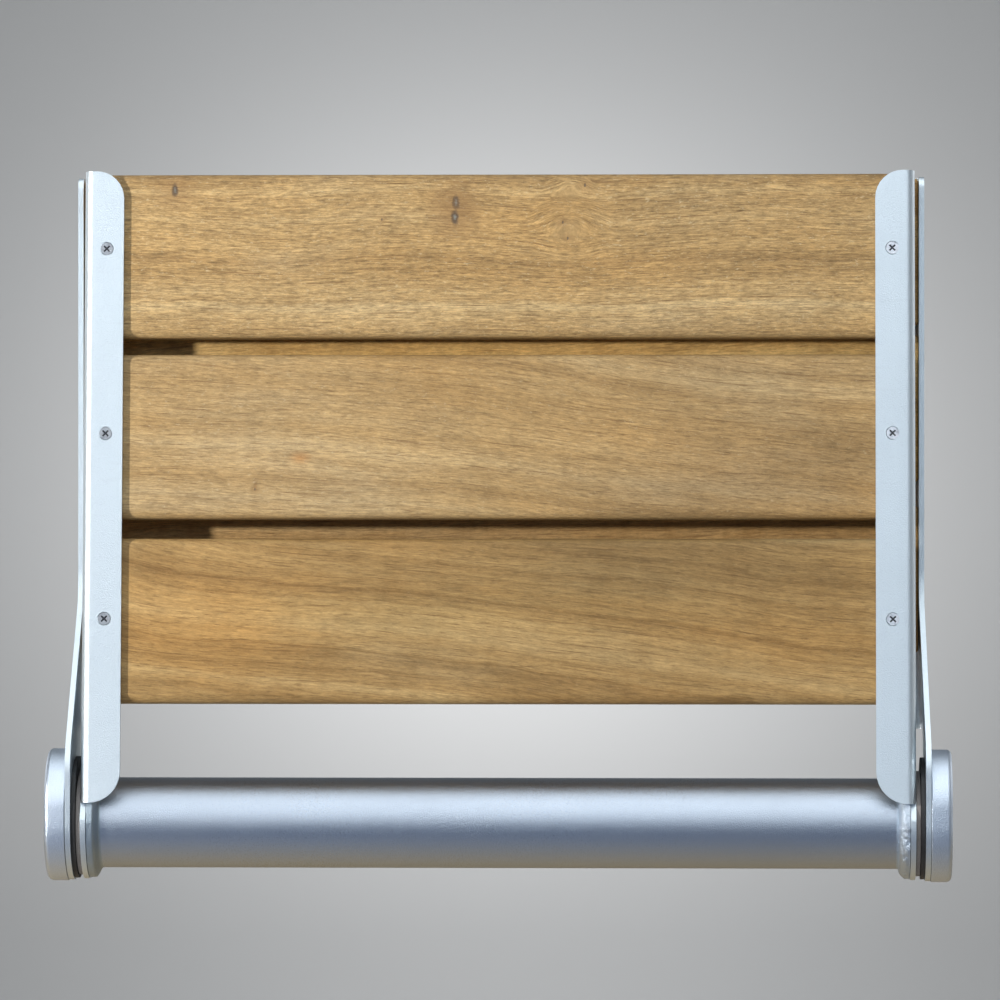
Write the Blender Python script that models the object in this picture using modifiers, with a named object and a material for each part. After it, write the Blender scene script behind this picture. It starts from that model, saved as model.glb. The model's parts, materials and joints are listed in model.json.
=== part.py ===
"""Wall-mounted folding shower seat: two slatted teak frames joined by a hinge.

World frame: X to the right, Z up, the wall is the plane y = 0 and the room is
on the -Y side. The origin lies on the wall, midway between the arms, at the
height of the hinge axis. The seat is modelled folded up. Its own frame has the
hinge axis as its X axis, v pointing to the wall and w pointing up the seat,
and an empty on the hinge axis leans that frame back against the wall frame.
"""

import math

import bmesh
import bpy
from mathutils import Matrix, Vector

MM = 0.001
GAP = 0.3 * MM                  # clearance between neighbouring solids
TINY = 0.02 * MM                # weld distance for round meshes

# Driving dimensions of the whole seat
AXIS_OUT = 42.0 * MM            # hinge axis in front of the wall
LEAN = math.radians(4.5)        # the folded seat leans back by this angle
PLATE = 3.0 * MM                # thickness of every aluminium plate
BEND_R = 5.0 * MM               # outer radius of every folded edge
LEG_INSET = 0.05 * MM           # a flange's leg is welded inside the web's faces

# Hinge tube
TUBE_R = 25.4 * MM
TUBE_WALL = 2.5 * MM
TUBE_END = 230.5 * MM           # half length of the tube

# Seat arm: a flange under the slats and a web that turns back to the hinge
ARM_X = 233.8 * MM              # outer face of the web
ARM_END_R = 31.6 * MM           # round end of the web, about the hinge axis
FLANGE_IN = 211.5 * MM          # inner edge of the flange
FLANGE_LOW = 10.0 * MM
FLANGE_TOP = 366.0 * MM
FLANGE_LOW_R = 18.0 * MM
FLANGE_TOP_R = 15.5 * MM
WEB_TOP = 343.0 * MM
FLANGE_FRONT = -ARM_END_R       # v of the flange's outer face

# Seat slats
SLAT_T = 20.0 * MM
SLAT_W = 92.6 * MM
SLAT_TOPS = (364.8 * MM, 262.6 * MM, 158.8 * MM)
SLAT_EDGE_R = 3.5 * MM
SLAT_X = ARM_X - PLATE - GAP    # half length

# Wall frame: plates outside the seat arms, with a flange on the wall
WALL_ARM_X = 242.2 * MM         # outer face at the hinge
JOGGLE = 2.6 * MM               # the plate steps inwards above the hinge
JOGGLE_LOW = 46.0 * MM
JOGGLE_HIGH = 124.0 * MM
WALL_ARM_TOP = 364.5 * MM
WALL_ARM_FRONT = 25.0 * MM      # depth of the plate beside the slats
WALL_FLANGE_IN = 219.5 * MM     # inner edge of the flange on the wall
WALL_FLANGE_LOW = 52.0 * MM
HINGE_END_R = 32.3 * MM         # round end of the plate, about the hinge axis
HINGE_RISE = 9.0 * MM           # straight part of the plate's oblong end

# Backrest slats on the wall frame
BACK_T = 17.7 * MM
BACK_W = 83.0 * MM
BACK_TOPS = (363.6 * MM, 275.2 * MM, 178.6 * MM)
BACK_EDGE_R = 3.0 * MM
BACK_X = WALL_ARM_X - JOGGLE - PLATE - GAP

# Screws through the flanges into the slats
SCREW_X = 221.0 * MM
SCREW_LOW = 113.2 * MM
SCREW_PITCH = 104.4 * MM
SCREW_HEAD_R = 3.6 * MM
SCREW_SHANK_R = 2.0 * MM
SCREW_HEAD_T = 1.8 * MM
SCREW_LEN = 17.0 * MM
BACK_SCREW_X = 227.0 * MM
FIXING_R = 3.5 * MM             # holes for the fixings into the wall
FIXING_HEIGHTS = (73.0 * MM, 185.4 * MM, 277.9 * MM)

# Hinge stack, from the seat arm outwards
RING_T = 2.2 * MM
RING_R = 29.6 * MM
WEAR_T = 2.3 * MM
WEAR_R = 31.3 * MM
BORE_R = 6.3 * MM
BOLT_R = 6.0 * MM
BUSH_R = 8.0 * MM
BOLT_HEAD_R = 10.5 * MM
BOLT_HEAD_T = 6.5 * MM
BOLT_END = 206.0 * MM
THRUST_R = 13.0 * MM
THRUST_T = 1.5 * MM
PLUG_LEN = 16.0 * MM
COLLAR_R = 31.0 * MM
COLLAR_LEN = 7.5 * MM

# Stop pin in the wall plate, running in a curved slot of the seat arm
PIN_R = 3.0 * MM
PIN_ORBIT = 19.0 * MM
PIN_ANGLE = math.radians(-45.0)
PIN_HEAD_R = 4.6 * MM
PIN_HEAD_T = 1.6 * MM
SWING = math.radians(90.0) + LEAN

# End cap over the hinge
CAP_T = 11.4 * MM
CAP_R = 32.7 * MM
CAP_WALL = 2.4 * MM
CAP_ROUND = 4.5 * MM

ROUND_STEPS = 36
SMALL_STEPS = 16

COLOURS = {
    "anodised_aluminium": ((0.74, 0.79, 0.85), 0.34, 1.0),
    "teak": ((0.50, 0.29, 0.11), 0.55, 0.0),
    "stainless_screw": ((0.55, 0.56, 0.58), 0.30, 1.0),
    "black_nylon": ((0.02, 0.02, 0.02), 0.50, 0.0),
    "grey_nylon": ((0.30, 0.27, 0.25), 0.50, 0.0),
}


# ---------------------------------------------------------------- scene set-up

def clear_scene():
    for obj in list(bpy.data.objects):
        bpy.data.objects.remove(obj)


def new_collection(name):
    collection = bpy.data.collections.new(name)
    bpy.context.scene.collection.children.link(collection)
    return collection


def material(name):
    """The shared Principled material of one finish."""
    found = bpy.data.materials.get(name)
    if found:
        return found
    colour, roughness, metallic = COLOURS[name]
    made = bpy.data.materials.new(name)
    made.use_nodes = True
    shader = made.node_tree.nodes["Principled BSDF"]
    shader.inputs["Base Color"].default_value = (*colour, 1.0)
    shader.inputs["Roughness"].default_value = roughness
    shader.inputs["Metallic"].default_value = metallic
    return made


def own_material(obj, finish):
    """Give the object its own copy of a finish, named after it."""
    copy = material(finish).copy()
    copy.name = obj.name + "_" + finish
    obj.data.materials.clear()
    obj.data.materials.append(copy)


# ------------------------------------------------------------------- outlines

def rounded(corners, steps=8):
    """Turn (x, y, radius) corners into an outline with an arc at each corner."""
    points = []
    count = len(corners)
    for index, (x, y, radius) in enumerate(corners):
        here = Vector((x, y))
        if radius == 0.0:
            points.append(here)
            continue
        before = Vector(corners[index - 1][:2])
        after = Vector(corners[(index + 1) % count][:2])
        to_before = (before - here).normalized()
        to_after = (after - here).normalized()
        half = to_before.angle(to_after) / 2.0
        centre = here + (to_before + to_after).normalized() * (radius / math.sin(half))
        start = here + to_before * (radius / math.tan(half))
        end = here + to_after * (radius / math.tan(half))
        first = math.atan2(start.y - centre.y, start.x - centre.x)
        last = math.atan2(end.y - centre.y, end.x - centre.x)
        sweep = (last - first + math.pi) % (2.0 * math.pi) - math.pi
        for step in range(steps + 1):
            angle = first + sweep * step / steps
            point = centre + radius * Vector((math.cos(angle), math.sin(angle)))
            if not points or (point - points[-1]).length > TINY:
                points.append(point)
    return points


def oblong(radius, rise, steps=18):
    """A round end about (0, 0) that is stretched upwards by rise."""
    points = []
    for step in range(steps + 1):
        angle = math.pi + math.pi * step / steps
        points.append(Vector((radius * math.cos(angle), radius * math.sin(angle))))
    for step in range(steps + 1):
        angle = math.pi * step / steps
        points.append(Vector((radius * math.cos(angle), rise + radius * math.sin(angle))))
    return points


def shifted(points, dx, dy):
    return [Vector((point.x + dx, point.y + dy)) for point in points]


def arc_slot(orbit, half_width, first, last, steps=14):
    """A curved slot about (0, 0), with round ends."""
    points = []
    for step in range(steps + 1):
        angle = first + (last - first) * step / steps
        reach = orbit + half_width
        points.append(Vector((reach * math.cos(angle), reach * math.sin(angle))))
    for angle, turn in ((last, 0.0), (first, math.pi)):
        if turn:
            for step in range(steps + 1):
                back = last + (first - last) * step / steps
                reach = orbit - half_width
                points.append(Vector((reach * math.cos(back), reach * math.sin(back))))
        middle = Vector((orbit * math.cos(angle), orbit * math.sin(angle)))
        for step in range(1, 6):
            around = angle + turn + math.pi * step / 6
            points.append(middle + half_width * Vector((math.cos(around), math.sin(around))))
    return points


# ------------------------------------------------------------- solid builders

PLANES = {
    "yz": Matrix.Rotation(math.pi / 2, 4, "Z") @ Matrix.Rotation(math.pi / 2, 4, "X"),
    "xz": Matrix.Rotation(math.pi / 2, 4, "X"),
    "xy": Matrix.Identity(4),
}
NORMAL_OF = {"yz": Vector((1, 0, 0)), "xz": Vector((0, -1, 0)), "xy": Vector((0, 0, 1))}


class Builder:
    """Makes objects in one collection, in the frame of one parent empty."""

    def __init__(self, parts, cutters, parent):
        self.parts = parts
        self.cutters = cutters
        self.parent = parent

    def place(self, obj, is_cutter):
        if is_cutter:
            self.cutters.objects.link(obj)
            obj.display_type = "WIRE"
            obj.hide_render = True
        else:
            self.parts.objects.link(obj)
        obj.parent = self.parent
        return obj

    def plate(self, name, outline, plane, low, high, is_cutter=False):
        """Extrude a flat outline from low to high along its plane's normal."""
        curve = bpy.data.curves.new(name + "_outline", "CURVE")
        curve.dimensions = "2D"
        curve.fill_mode = "BOTH"
        curve.extrude = (high - low) / 2.0
        spline = curve.splines.new("POLY")
        spline.points.add(len(outline) - 1)
        for target, point in zip(spline.points, outline):
            target.co = (point.x, point.y, 0.0, 1.0)
        spline.use_cyclic_u = True
        guide = bpy.data.objects.new(name + "_guide", curve)
        self.parts.objects.link(guide)
        mesh = as_mesh(guide)
        bpy.data.objects.remove(guide)
        mesh.transform(PLANES[plane])
        mesh.transform(Matrix.Translation(NORMAL_OF[plane] * (low + high) / 2.0))
        mesh.name = name
        return self.place(bpy.data.objects.new(name, mesh), is_cutter)

    def turned(self, name, profile, axis, centre, steps=ROUND_STEPS, is_cutter=False):
        """Revolve (radius, height) points, which run down the outer side.

        The height runs along axis, a unit vector, from the point centre.
        """
        mesh = bpy.data.meshes.new(name)
        work = bmesh.new()
        verts = [work.verts.new((radius, 0.0, height)) for radius, height in profile]
        closed = profile[0][0] > 0.0
        for first, second in zip(verts, verts[1:]):
            work.edges.new((first, second))
        if closed:
            work.edges.new((verts[-1], verts[0]))
        work.to_mesh(mesh)
        work.free()
        turn = Vector((0, 0, 1)).rotation_difference(Vector(axis))
        obj = self.place(bpy.data.objects.new(name, mesh), is_cutter)
        obj.rotation_mode = "QUATERNION"
        obj.rotation_quaternion = turn
        obj.location = centre
        screw = obj.modifiers.new("turn", "SCREW")
        screw.axis = "Z"
        screw.steps = steps
        screw.render_steps = steps
        screw.use_merge_vertices = True
        screw.merge_threshold = TINY
        return obj

    def box(self, name, low, high, is_cutter=False):
        mesh = bpy.data.meshes.new(name)
        work = bmesh.new()
        bmesh.ops.create_cube(work, size=1.0)
        size = Vector(high) - Vector(low)
        bmesh.ops.scale(work, vec=size, verts=work.verts)
        bmesh.ops.translate(work, vec=(Vector(high) + Vector(low)) / 2.0, verts=work.verts)
        work.to_mesh(mesh)
        work.free()
        return self.place(bpy.data.objects.new(name, mesh), is_cutter)

    def prism(self, name, sides, radius, axis, start, length, is_cutter=False):
        """A straight round or many-sided bar along axis from start."""
        mesh = bpy.data.meshes.new(name)
        work = bmesh.new()
        bmesh.ops.create_cone(work, cap_ends=True, segments=sides, radius1=radius,
                              radius2=radius, depth=length)
        bmesh.ops.translate(work, vec=(0.0, 0.0, length / 2.0), verts=work.verts)
        half_step = Matrix.Rotation(math.pi / sides, 3, "Z")
        bmesh.ops.rotate(work, matrix=half_step, verts=work.verts)
        turn = Vector((0, 0, 1)).rotation_difference(Vector(axis)).to_matrix()
        bmesh.ops.rotate(work, matrix=turn, verts=work.verts)
        work.to_mesh(mesh)
        work.free()
        obj = self.place(bpy.data.objects.new(name, mesh), is_cutter)
        obj.location = start
        return obj


def as_mesh(obj):
    """The object's evaluated shape as a closed mesh."""
    graph = bpy.context.evaluated_depsgraph_get()
    mesh = bpy.data.meshes.new_from_object(obj.evaluated_get(graph))
    work = bmesh.new()
    work.from_mesh(mesh)
    bmesh.ops.remove_doubles(work, verts=work.verts, dist=TINY)
    work.to_mesh(mesh)
    work.free()
    return mesh


def combine(target, other, operation):
    """Add a live Boolean of two objects."""
    step = target.modifiers.new(operation.lower() + "_" + other.name, "BOOLEAN")
    step.operation = operation
    step.solver = "EXACT"
    step.object = other


def soften(obj, width, segments=3):
    bevel = obj.modifiers.new("rounded_edges", "BEVEL")
    bevel.width = width
    bevel.segments = segments
    bevel.limit_method = "ANGLE"


def smooth(obj):
    obj.data.shade_smooth()
    obj.data.set_sharp_from_angle(angle=math.radians(35.0))


def finish_part(obj, finish):
    own_material(obj, finish)
    smooth(obj)


# ------------------------------------------------------------- shared features

def add_screw(builder, name, head_at, axis, cut_cross):
    """A countersunk screw whose head face lies at head_at, pointing along axis."""
    profile = [
        (0.0, SCREW_LEN),
        (SCREW_SHANK_R, SCREW_LEN),
        (SCREW_SHANK_R, SCREW_HEAD_T),
        (SCREW_HEAD_R, 0.0),
        (0.0, 0.0),
    ]
    screw = builder.turned(name, profile, axis, head_at, SMALL_STEPS)
    if cut_cross:
        centre = Vector(head_at)
        for turn in (45.0, 135.0):
            cross = builder.box(
                name + "_recess_%d" % turn,
                (-2.2 * MM, -1.4 * MM, -0.45 * MM), (2.2 * MM, 1.4 * MM, 0.45 * MM), True)
            cross.location = centre
            cross.rotation_euler = (0.0, math.radians(turn), 0.0)
            combine(screw, cross, "DIFFERENCE")
    finish_part(screw, "stainless_screw")
    return screw


def screw_hole_cutter(builder, name, head_at, axis):
    """The countersink and pilot hole that clear one slat screw."""
    above = 0.6 * MM
    start = Vector(head_at) - Vector(axis) * above
    shank = SCREW_SHANK_R + GAP
    slope = (SCREW_HEAD_R - SCREW_SHANK_R) / SCREW_HEAD_T
    depth = above + SCREW_LEN + 2.0 * GAP
    profile = [
        (0.0, depth),
        (shank, depth),
        (shank, above + SCREW_HEAD_T),
        (SCREW_HEAD_R + GAP + slope * above, 0.0),
        (0.0, 0.0),
    ]
    return builder.turned(name, profile, axis, start, SMALL_STEPS, True)


# ------------------------------------------------------------------ seat parts

def make_tube(seat):
    inner = TUBE_R - TUBE_WALL
    profile = [(TUBE_R, TUBE_END), (TUBE_R, -TUBE_END), (inner, -TUBE_END), (inner, TUBE_END)]
    tube = seat.turned("hinge_tube", profile, (1, 0, 0), (0, 0, 0))
    finish_part(tube, "anodised_aluminium")


def flange_section(outer_x, inner_x, face, leg_end):
    """Section of a folded plate: flange, round bend and a short leg of web.

    face is the flange's outer face, and leg_end lies further back in the web.
    """
    back = 1.0 if leg_end > face else -1.0
    side = 1.0 if outer_x > inner_x else -1.0
    skin = side * LEG_INSET
    return rounded([
        (inner_x, face, 0.0),
        (outer_x - skin, face, BEND_R),
        (outer_x - skin, leg_end, 0.0),
        (outer_x - side * PLATE + skin, leg_end, 0.0),
        (outer_x - side * PLATE + skin, face + back * PLATE, BEND_R - PLATE),
        (inner_x, face + back * PLATE, 0.0),
    ], 6)


def make_seat_arm(seat, label, side):
    low_x, high_x = sorted((side * (ARM_X - PLATE), side * ARM_X))
    web_outline = rounded([
        (-ARM_END_R, -ARM_END_R, ARM_END_R - TINY),
        (ARM_END_R, -ARM_END_R, ARM_END_R - TINY),
        (ARM_END_R, 26.0 * MM, 20.0 * MM),
        (2.0 * MM, 100.0 * MM, 80.0 * MM),
        (-9.0 * MM, WEB_TOP, 12.0 * MM),
        (FLANGE_FRONT + BEND_R + 1.0 * MM, WEB_TOP, 0.0),
        (FLANGE_FRONT + BEND_R + 1.0 * MM, FLANGE_LOW + 4.0 * MM, 0.0),
        (-ARM_END_R, FLANGE_LOW - 8.0 * MM, 0.0),
    ], 12)
    arm = seat.plate("seat_arm_" + label, web_outline, "yz", low_x, high_x)

    section = flange_section(side * ARM_X, side * FLANGE_IN, FLANGE_FRONT,
                             FLANGE_FRONT + 12.0 * MM)
    flange = seat.plate("seat_flange_" + label, section, "xy", FLANGE_LOW, FLANGE_TOP, True)
    front = rounded([
        (side * FLANGE_IN, FLANGE_LOW - TINY, FLANGE_LOW_R),
        (side * (ARM_X + 1.0 * MM), FLANGE_LOW - TINY, 0.0),
        (side * (ARM_X + 1.0 * MM), FLANGE_TOP + TINY, 0.0),
        (side * FLANGE_IN, FLANGE_TOP + TINY, FLANGE_TOP_R),
    ])
    outline = seat.plate("seat_flange_outline_" + label, front, "xz", 15.0 * MM,
                         35.0 * MM, True)
    combine(flange, outline, "INTERSECT")
    combine(arm, flange, "UNION")

    bore = seat.prism("seat_bore_" + label, ROUND_STEPS, BORE_R, (1, 0, 0),
                      (low_x - 1.0 * MM, 0, 0), PLATE + 2.0 * MM, True)
    combine(arm, bore, "DIFFERENCE")
    play = math.radians(2.0)
    slot = seat.plate("stop_slot_" + label,
                      arc_slot(PIN_ORBIT, PIN_R + GAP, PIN_ANGLE - SWING + LEAN - play,
                               PIN_ANGLE + LEAN + play),
                      "yz", low_x - 1.0 * MM, high_x + 1.0 * MM, True)
    combine(arm, slot, "DIFFERENCE")
    for number in range(3):
        height = SCREW_LOW + number * SCREW_PITCH
        hole = screw_hole_cutter(seat, "seat_screw_hole_%s_%d" % (label, number + 1),
                                 (side * SCREW_X, FLANGE_FRONT, height), (0, 1, 0))
        combine(arm, hole, "DIFFERENCE")
    finish_part(arm, "anodised_aluminium")


def make_seat_slats(seat):
    back = FLANGE_FRONT + PLATE + GAP
    for number, label in enumerate(("top", "middle", "bottom")):
        high = SLAT_TOPS[number]
        slat = seat.box("seat_slat_" + label, (-SLAT_X, back, high - SLAT_W),
                        (SLAT_X, back + SLAT_T, high))
        soften(slat, SLAT_EDGE_R)
        for side_label in ("left", "right"):
            hole = bpy.data.objects["seat_screw_hole_%s_%d" % (side_label, 3 - number)]
            combine(slat, hole, "DIFFERENCE")
        finish_part(slat, "teak")


def make_seat_screws(seat):
    for label, side in (("left", -1), ("right", 1)):
        for number in range(3):
            height = SCREW_LOW + number * SCREW_PITCH
            add_screw(seat, "seat_screw_%s_%d" % (label, number + 1),
                      (side * SCREW_X, FLANGE_FRONT, height), (0, 1, 0), True)


def make_collar(seat, label, side):
    """The concave weld fillet between the tube and the seat arm."""
    inner = TUBE_R + GAP
    profile = [(COLLAR_R, 0.0)]
    steps = 4
    for step in range(steps + 1):
        angle = math.pi / 2 * step / steps
        profile.append((COLLAR_R - (COLLAR_R - inner - 0.4 * MM) * math.sin(angle),
                        -0.8 * MM - (COLLAR_LEN - 0.8 * MM) * (1.0 - math.cos(angle))))
    profile.append((inner, -COLLAR_LEN))
    profile.append((inner, 0.0))
    collar = seat.turned("weld_collar_" + label, profile, (side, 0, 0),
                         (side * (ARM_X - PLATE - GAP), 0, 0))
    notch = seat.box("collar_notch_" + label,
                     (min(0, side) * 240 * MM, -40 * MM, FLANGE_LOW - GAP),
                     (max(0, side) * 240 * MM, FLANGE_FRONT + BEND_R + GAP, 40 * MM), True)
    combine(collar, notch, "DIFFERENCE")
    finish_part(collar, "anodised_aluminium")


def make_plug(seat, label, side):
    radius = TUBE_R - TUBE_WALL - GAP
    profile = [(radius, 0.0), (radius, -PLUG_LEN), (BORE_R, -PLUG_LEN), (BORE_R, 0.0)]
    plug = seat.turned("tube_plug_" + label, profile, (side, 0, 0),
                       (side * (ARM_X - PLATE - GAP), 0, 0))
    finish_part(plug, "anodised_aluminium")


def make_bolt(seat, label, side):
    under_head = WALL_ARM_X + GAP + THRUST_T + GAP
    start = (side * under_head, 0, 0)
    bolt = seat.prism("pivot_bolt_" + label, 6, BOLT_HEAD_R, (side, 0, 0), start,
                      BOLT_HEAD_T)
    soften(bolt, 0.6 * MM, 1)
    shank = seat.prism("pivot_shank_" + label, 24, BOLT_R, (side, 0, 0),
                       (side * BOLT_END, 0, 0), under_head + 2.0 * MM - BOLT_END, True)
    combine(bolt, shank, "UNION")
    finish_part(bolt, "stainless_screw")
    profile = [(THRUST_R, THRUST_T), (THRUST_R, 0.0), (BORE_R, 0.0), (BORE_R, THRUST_T)]
    thrust = seat.turned("thrust_washer_" + label, profile, (side, 0, 0),
                         (side * (WALL_ARM_X + GAP), 0, 0), 32)
    finish_part(thrust, "stainless_screw")


# ------------------------------------------------------------ wall frame parts

def make_wall_arm(wall, label, side):
    high_x = side * WALL_ARM_X
    low_x = side * (WALL_ARM_X - PLATE)
    rear = -BEND_R - 2.0 * MM
    outline = rounded([
        (-AXIS_OUT - HINGE_END_R, -HINGE_END_R, HINGE_END_R - TINY),
        (-AXIS_OUT + HINGE_END_R, -HINGE_END_R, HINGE_END_R - TINY),
        (-AXIS_OUT + HINGE_END_R, WALL_FLANGE_LOW - 6.0 * MM, 4.0 * MM),
        (rear, WALL_FLANGE_LOW, 2.0 * MM),
        (rear, WALL_ARM_TOP, 0.0),
        (-WALL_ARM_FRONT, WALL_ARM_TOP, 6.0 * MM),
        (-WALL_ARM_FRONT, 128.0 * MM, 60.0 * MM),
        (-AXIS_OUT - HINGE_END_R, 36.0 * MM, 26.0 * MM),
    ], 12)
    arm = wall.plate("wall_arm_" + label, outline, "yz", min(low_x, high_x),
                     max(low_x, high_x))
    step_inwards(arm, side)

    section = flange_section(high_x, side * WALL_FLANGE_IN, 0.0, -BEND_R - 6.0 * MM)
    flange = wall.plate("wall_flange_" + label, section, "xy", WALL_FLANGE_LOW - LEG_INSET,
                        WALL_ARM_TOP + LEG_INSET, True)
    step_inwards(flange, side)
    combine(arm, flange, "UNION")

    hole = wall.prism("bush_hole_" + label, ROUND_STEPS, BUSH_R + GAP, (1, 0, 0),
                      (min(low_x, high_x) - 1.0 * MM, -AXIS_OUT, 0), PLATE + 2.0 * MM, True)
    combine(arm, hole, "DIFFERENCE")
    pin_y = -AXIS_OUT + PIN_ORBIT * math.cos(PIN_ANGLE)
    pin_z = PIN_ORBIT * math.sin(PIN_ANGLE)
    pin_hole = wall.prism("pin_hole_" + label, SMALL_STEPS, PIN_R + GAP, (side, 0, 0),
                          (side * (ARM_X - 1.0 * MM), pin_y, pin_z), 12.0 * MM, True)
    combine(arm, pin_hole, "DIFFERENCE")
    for number in range(3):
        screw_hole_cutter(wall, "back_screw_hole_%s_%d" % (label, number + 1),
                          (side * BACK_SCREW_X, 0.0, back_screw_height(number)),
                          (0, -1, 0))
        combine(arm, bpy.data.objects["back_screw_hole_%s_%d" % (label, number + 1)],
                "DIFFERENCE")
    for number, height in enumerate(FIXING_HEIGHTS):
        fixing = wall.prism("fixing_hole_%s_%d" % (label, number + 1), SMALL_STEPS,
                            FIXING_R, (0, 1, 0),
                            (side * BACK_SCREW_X, -PLATE - 1.0 * MM, height),
                            PLATE + 2.0 * MM, True)
        combine(arm, fixing, "DIFFERENCE")
    finish_part(arm, "anodised_aluminium")


def back_screw_height(number):
    """Height of a backrest screw, counted from the bottom slat."""
    return BACK_TOPS[2 - number] - BACK_W / 2.0


def step_at(height, side):
    """How far the wall plate has stepped inwards at a height."""
    share = (height - JOGGLE_LOW) / (JOGGLE_HIGH - JOGGLE_LOW)
    return -side * JOGGLE * min(1.0, max(0.0, share))


def step_inwards(obj, side):
    """Bend a plate at two heights, so that it steps inwards between them.

    A flange's inner edge stays straight.
    """
    work = bmesh.new()
    work.from_mesh(obj.data)
    for height in (JOGGLE_LOW, JOGGLE_HIGH):
        bmesh.ops.bisect_plane(work, geom=work.verts[:] + work.edges[:] + work.faces[:],
                               plane_co=(0, 0, height), plane_no=(0, 0, 1), dist=TINY)
    for vert in work.verts:
        if abs(vert.co.x) > WALL_FLANGE_IN + 5.0 * MM:
            vert.co.x += step_at(vert.co.z, side)
    work.to_mesh(obj.data)
    work.free()


def make_back_slats(wall):
    rear = -PLATE - GAP
    for number, label in enumerate(("top", "middle", "bottom")):
        high = BACK_TOPS[number]
        slat = wall.box("back_slat_" + label, (-BACK_X, rear - BACK_T, high - BACK_W),
                        (BACK_X, rear, high))
        soften(slat, BACK_EDGE_R)
        for side_label in ("left", "right"):
            hole = bpy.data.objects["back_screw_hole_%s_%d" % (side_label, 3 - number)]
            combine(slat, hole, "DIFFERENCE")
        finish_part(slat, "teak")


def make_back_screws(wall):
    for label, side in (("left", -1), ("right", 1)):
        for number in range(3):
            add_screw(wall, "back_screw_%s_%d" % (label, number + 1),
                      (side * BACK_SCREW_X, 0.0, back_screw_height(number)), (0, -1, 0),
                      False)


def make_washers(wall, label, side):
    """The grey spacer ring and the black wear plate between the two arms."""
    ring_x = side * (ARM_X + GAP)
    profile = [(RING_R, RING_T), (RING_R, 0.0), (BORE_R, 0.0), (BORE_R, RING_T)]
    ring = wall.turned("spacer_ring_" + label, profile, (side, 0, 0),
                       (ring_x, -AXIS_OUT, 0))
    pin_hole = bpy.data.objects["pin_hole_" + label]
    combine(ring, pin_hole, "DIFFERENCE")
    finish_part(ring, "grey_nylon")

    low_x, high_x = sorted((side * (ARM_X + 2.0 * GAP + RING_T),
                            side * (ARM_X + 2.0 * GAP + RING_T + WEAR_T)))
    outline = shifted(oblong(WEAR_R, 6.0 * MM), -AXIS_OUT, 0.0)
    wear = wall.plate("wear_plate_" + label, outline, "yz", low_x, high_x)
    bore = wall.prism("wear_bore_" + label, ROUND_STEPS, BORE_R, (1, 0, 0),
                      (low_x - 1.0 * MM, -AXIS_OUT, 0), WEAR_T + 2.0 * MM, True)
    combine(wear, bore, "DIFFERENCE")
    combine(wear, pin_hole, "DIFFERENCE")
    finish_part(wear, "black_nylon")


def make_bush(wall, label, side):
    profile = [(BUSH_R, PLATE), (BUSH_R, 0.0), (BORE_R, 0.0), (BORE_R, PLATE)]
    bush = wall.turned("pivot_bush_" + label, profile, (side, 0, 0),
                       (side * (WALL_ARM_X - PLATE), -AXIS_OUT, 0), 32)
    finish_part(bush, "black_nylon")


def make_stop_pin(wall, label, side):
    tip = ARM_X - PLATE + GAP
    head = WALL_ARM_X + GAP
    profile = [
        (0.0, head - tip + PIN_HEAD_T),
        (PIN_HEAD_R, head - tip + PIN_HEAD_T),
        (PIN_HEAD_R, head - tip),
        (PIN_R, head - tip),
        (PIN_R, 0.0),
        (0.0, 0.0),
    ]
    pin = wall.turned("stop_pin_" + label, profile, (side, 0, 0),
                      (side * tip, -AXIS_OUT + PIN_ORBIT * math.cos(PIN_ANGLE),
                       PIN_ORBIT * math.sin(PIN_ANGLE)), SMALL_STEPS)
    finish_part(pin, "stainless_screw")


def make_end_cap(wall, label, side):
    """A hollow oblong cap with a rounded, slightly domed outer face."""
    inner_x = side * (WALL_ARM_X + GAP)
    outer_x = inner_x + side * CAP_T
    outline = shifted(oblong(CAP_R, HINGE_RISE), -AXIS_OUT, 0.0)
    cap = wall.plate("end_cap_" + label, outline, "yz", min(inner_x, outer_x),
                     max(inner_x, outer_x))
    work = bmesh.new()
    work.from_mesh(cap.data)
    bmesh.ops.dissolve_limit(work, angle_limit=math.radians(1.0), verts=work.verts[:],
                             edges=work.edges[:])
    face = max(work.faces, key=lambda item: side * item.calc_center_median().x)
    bmesh.ops.bevel(work, geom=list(face.edges), offset=CAP_ROUND, segments=4,
                    profile=0.5, affect="EDGES")
    work.faces.ensure_lookup_table()
    face = max(work.faces, key=lambda item: side * item.calc_center_median().x)
    for width, rise in ((8.0 * MM, -0.5 * MM), (10.0 * MM, -0.25 * MM)):
        bmesh.ops.inset_region(work, faces=[face], thickness=width, depth=-rise,
                               use_even_offset=True)
    work.to_mesh(cap.data)
    work.free()
    hollow = wall.plate("cap_hollow_" + label,
                        shifted(oblong(CAP_R - CAP_WALL, HINGE_RISE), -AXIS_OUT, 0.0), "yz",
                        min(inner_x - side * MM, outer_x - side * CAP_WALL),
                        max(inner_x - side * MM, outer_x - side * CAP_WALL), True)
    combine(cap, hollow, "DIFFERENCE")
    finish_part(cap, "anodised_aluminium")


# ----------------------------------------------------------------------- build

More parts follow.
